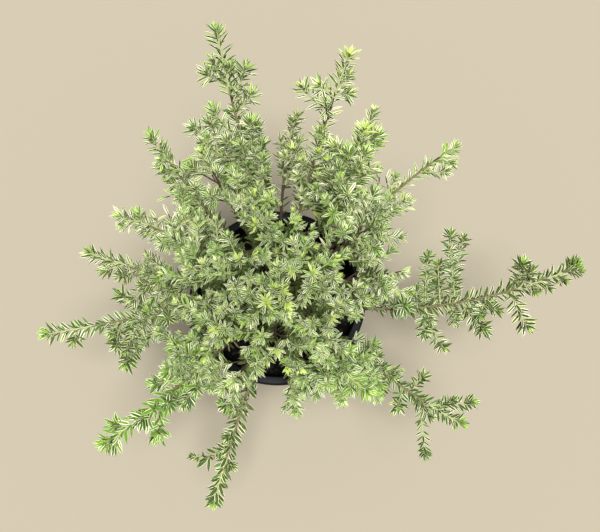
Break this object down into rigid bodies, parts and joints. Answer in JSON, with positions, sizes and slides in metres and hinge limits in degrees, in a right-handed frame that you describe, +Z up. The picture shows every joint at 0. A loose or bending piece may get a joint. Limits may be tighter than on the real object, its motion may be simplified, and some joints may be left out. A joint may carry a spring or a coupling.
{
  "type": "potted westringia",
  "caption": "Young variegated coastal rosemary shrub: slender shoots of narrow cream-edged leaves fan out from a short stem in a round black nursery pot.",
  "frame": {"origin": "middle of the pot's flat underside", "axes": "+Z up; +X to the right and +Y to the top of the picture, which looks down on the plant"},
  "size_m": [0.571, 0.4641, 0.412],
  "materials": {
    "pot_plastic": "black injection-moulded polypropylene, satin with a soft sky sheen on the rolled lip",
    "potting_mix": "damp composted bark, almost black, with loose chips",
    "bark": "thin grey-brown bark with fine lengthwise cracks",
    "green_stem": "young tan-green shoot bark, matt",
    "foliage": "narrow grey-green leaves with cream edges, matt",
    "sunlit_foliage": "narrow grey-green leaves with cream edges and yellow-green young tips, matt"
  },
  "bodies": {
    "root": {"pot": "pot_plastic", "potting_mix": "potting_mix", "trunk": "bark", "bough_right_wand": "green_stem", "bough_right_low": "green_stem", "bough_right_mid": "green_stem", "bough_right_upper_wand": "green_stem", "bough_upper_right": "green_stem", "bough_crown_back": "green_stem", "bough_back_right_leader": "green_stem", "bough_back_pair": "green_stem", "bough_back_left_leader": "green_stem", "bough_crown_back_left": "green_stem", "bough_upper_left_high": "green_stem", "bough_upper_left": "green_stem", "bough_left_upper": "green_stem", "bough_left": "green_stem", "bough_crown_low_left": "green_stem", "bough_crown_left": "green_stem", "bough_far_left": "green_stem", "bough_front_left": "green_stem", "bough_crown_front_left": "green_stem", "bough_front_low": "green_stem", "bough_front_wand": "green_stem", "bough_crown_centre": "green_stem", "bough_crown_front": "green_stem", "bough_front_short": "green_stem", "bough_front_right": "green_stem", "bough_crown_front_right": "green_stem", "bough_lower_right": "green_stem", "bough_crown_right": "green_stem", "mass_right_wand": "foliage", "mass_right_low": "foliage", "mass_right_mid": "foliage", "mass_right_upper_wand": "foliage", "mass_upper_right": "foliage", "mass_crown_back": "sunlit_foliage", "mass_back_right_leader": "foliage", "mass_back_pair": "foliage", "mass_back_left_leader": "foliage", "mass_crown_back_left": "sunlit_foliage", "mass_upper_left_high": "foliage", "mass_upper_left": "foliage", "mass_left_upper": "foliage", "mass_left": "foliage", "mass_crown_low_left": "sunlit_foliage", "mass_crown_left": "sunlit_foliage", "mass_far_left": "foliage", "mass_front_left": "foliage", "mass_crown_front_left": "sunlit_foliage", "mass_front_low": "foliage", "mass_front_wand": "foliage", "mass_crown_centre": "sunlit_foliage", "mass_crown_front": "sunlit_foliage", "mass_front_short": "foliage", "mass_front_right": "foliage", "mass_crown_front_right": "sunlit_foliage", "mass_lower_right": "foliage", "mass_crown_right": "sunlit_foliage"}
  },
  "joints": []
}
